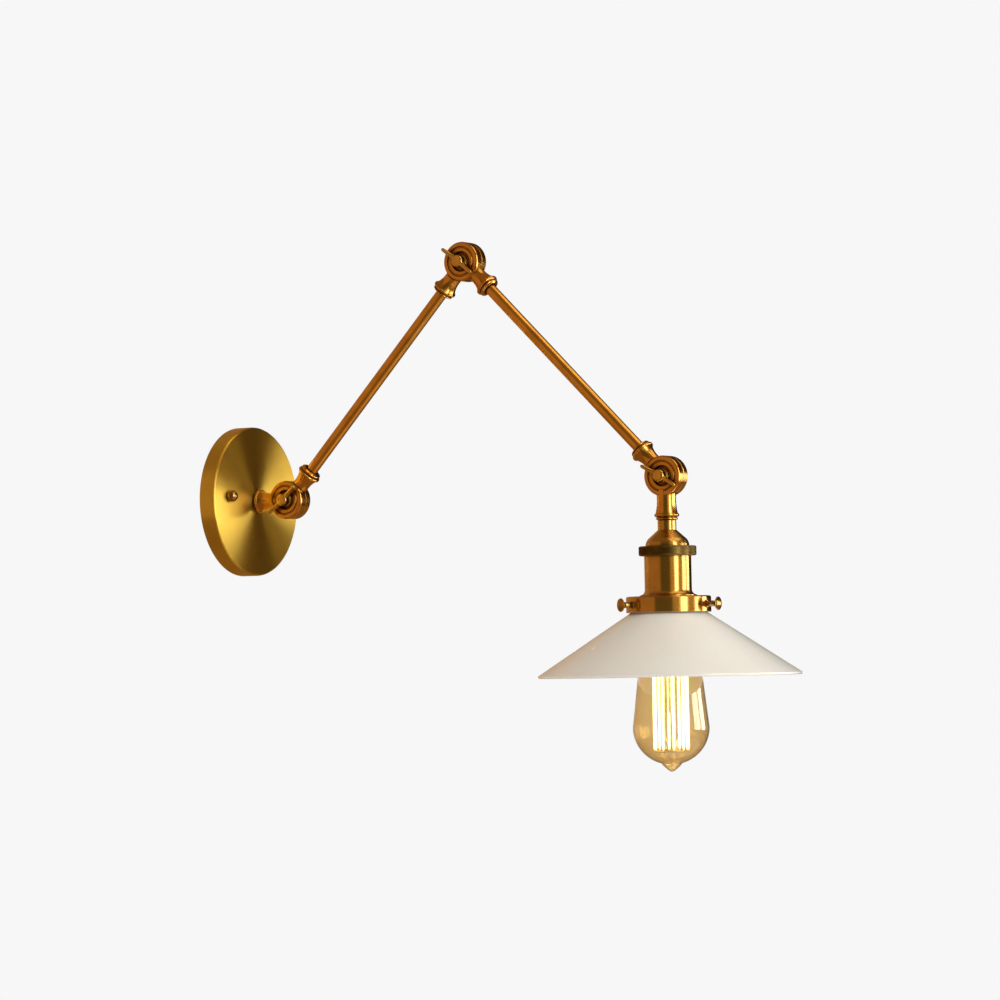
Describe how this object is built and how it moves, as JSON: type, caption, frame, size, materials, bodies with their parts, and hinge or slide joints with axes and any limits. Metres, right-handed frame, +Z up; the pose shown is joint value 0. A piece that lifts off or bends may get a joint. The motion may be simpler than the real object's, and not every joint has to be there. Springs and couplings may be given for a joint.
{
  "type": "adjustable wall lamp",
  "caption": "Brass wall lamp with a round backplate, two folding arms on clamped knuckles, and a conical opal glass shade over a bare tubular bulb.",
  "frame": {"origin": "centre of the backplate's back face, midway between the two wall screw slots", "axes": "+X straight out of the wall, +Z up, +Y along the knuckle pivots, to the left seen from the room"},
  "size_m": [0.5393, 0.221, 0.4565],
  "materials": {
    "plate_brass": "circular brushed antique",
    "knuckle_brass": "satin antique",
    "tube_brass": "lengthwise brushed antique",
    "holder_brass": "turned satin antique",
    "ring_brass": "knurled, darkened",
    "screw_brass": "satin",
    "dark_brass": "darkened",
    "contact_brass": "bright drawn",
    "steel": "zinc plated",
    "friction_fibre": "pressed fibre",
    "terminal_plastic": "moulded",
    "liner_plastic": "moulded phenolic",
    "wire_insulation": "smooth",
    "porcelain": "glazed porcelain",
    "opal_glass": "opal, gloss",
    "amber_glass": "amber, clear",
    "clear_glass": "clear",
    "filament_wire": "glowing"
  },
  "bodies": {
    "wall_base": {"backplate": "plate_brass", "wall_bracket": "steel", "face_screws": "dark_brass", "terminal_block": "terminal_plastic", "earth_screw": "dark_brass", "wall_nipple": "steel", "nipple_washer": "steel", "nipple_locknut": "steel", "wall_knuckle": "knuckle_brass", "wall_wires": "wire_insulation", "base_friction_washer": "friction_fibre"},
    "base_wing": {"base_wing_screw": "screw_brass"},
    "lower_arm": {"lower_arm_root": "knuckle_brass", "lower_arm_tube": "tube_brass", "lower_arm_tip": "knuckle_brass", "lower_arm_wires": "wire_insulation", "elbow_friction_washer": "friction_fibre"},
    "elbow_wing": {"elbow_wing_screw": "screw_brass"},
    "upper_arm": {"upper_arm_root": "knuckle_brass", "upper_arm_tube": "tube_brass", "upper_arm_tip": "knuckle_brass", "upper_arm_wires": "wire_insulation", "head_friction_washer": "friction_fibre"},
    "head_wing": {"head_wing_screw": "screw_brass"},
    "lamp_head": {"head_knuckle": "knuckle_brass", "holder_nipple": "steel", "holder_cap": "holder_brass", "knurled_ring": "ring_brass", "holder_shell": "holder_brass", "holder_core": "porcelain", "holder_liner": "liner_plastic", "screw_shell": "contact_brass", "centre_contact": "contact_brass", "head_wires": "wire_insulation", "gallery": "holder_brass", "gallery_ring_nut": "holder_brass", "glass_shade": "opal_glass", "bulb_glass": "amber_glass", "bulb_cap": "contact_brass", "bulb_cap_insulator": "liner_plastic", "bulb_contact_button": "steel", "bulb_stem": "clear_glass", "filament_supports": "steel", "bulb_filament": "filament_wire"},
    "thumb_screw_front": {"gallery_screw_front": "dark_brass"},
    "thumb_screw_back": {"gallery_screw_back": "dark_brass"},
    "thumb_screw_side": {"gallery_screw_side": "dark_brass"}
  },
  "joints": [
    {"name": "base_tilt", "type": "hinge", "parent": "wall_base", "child": "lower_arm", "pos_m": [0.051, 0, 0], "axis": [0, -1, 0], "range_deg": [-137, 43]},
    {"name": "elbow_fold", "type": "hinge", "parent": "lower_arm", "child": "upper_arm", "pos_m": [0.2365, 0, 0.19893], "axis": [0, 1, 0], "range_deg": [-182, 38]},
    {"name": "head_tilt", "type": "hinge", "parent": "upper_arm", "child": "lamp_head", "pos_m": [0.42884, 0, 0.0066], "axis": [0, -1, 0], "range_deg": [-80, 170]},
    {"name": "base_wing_turn", "type": "hinge", "parent": "lower_arm", "child": "base_wing", "pos_m": [0.051, 0, 0], "axis": [0, -1, 0], "range_deg": [0, 270]},
    {"name": "elbow_wing_turn", "type": "hinge", "parent": "lower_arm", "child": "elbow_wing", "pos_m": [0.2365, 0, 0.19893], "axis": [0, -1, 0], "range_deg": [0, 270]},
    {"name": "head_wing_turn", "type": "hinge", "parent": "upper_arm", "child": "head_wing", "pos_m": [0.42884, 0, 0.0066], "axis": [0, -1, 0], "range_deg": [0, 270]},
    {"name": "thumb_screw_front_out", "type": "slide", "parent": "lamp_head", "child": "thumb_screw_front", "axis": [1, 0, 0], "range_m": [0, 0.004]},
    {"name": "thumb_screw_back_out", "type": "slide", "parent": "lamp_head", "child": "thumb_screw_back", "axis": [-0.5, 0.866, 0], "range_m": [0, 0.004]},
    {"name": "thumb_screw_side_out", "type": "slide", "parent": "lamp_head", "child": "thumb_screw_side", "axis": [-0.5, -0.866, 0], "range_m": [0, 0.004]}
  ]
}
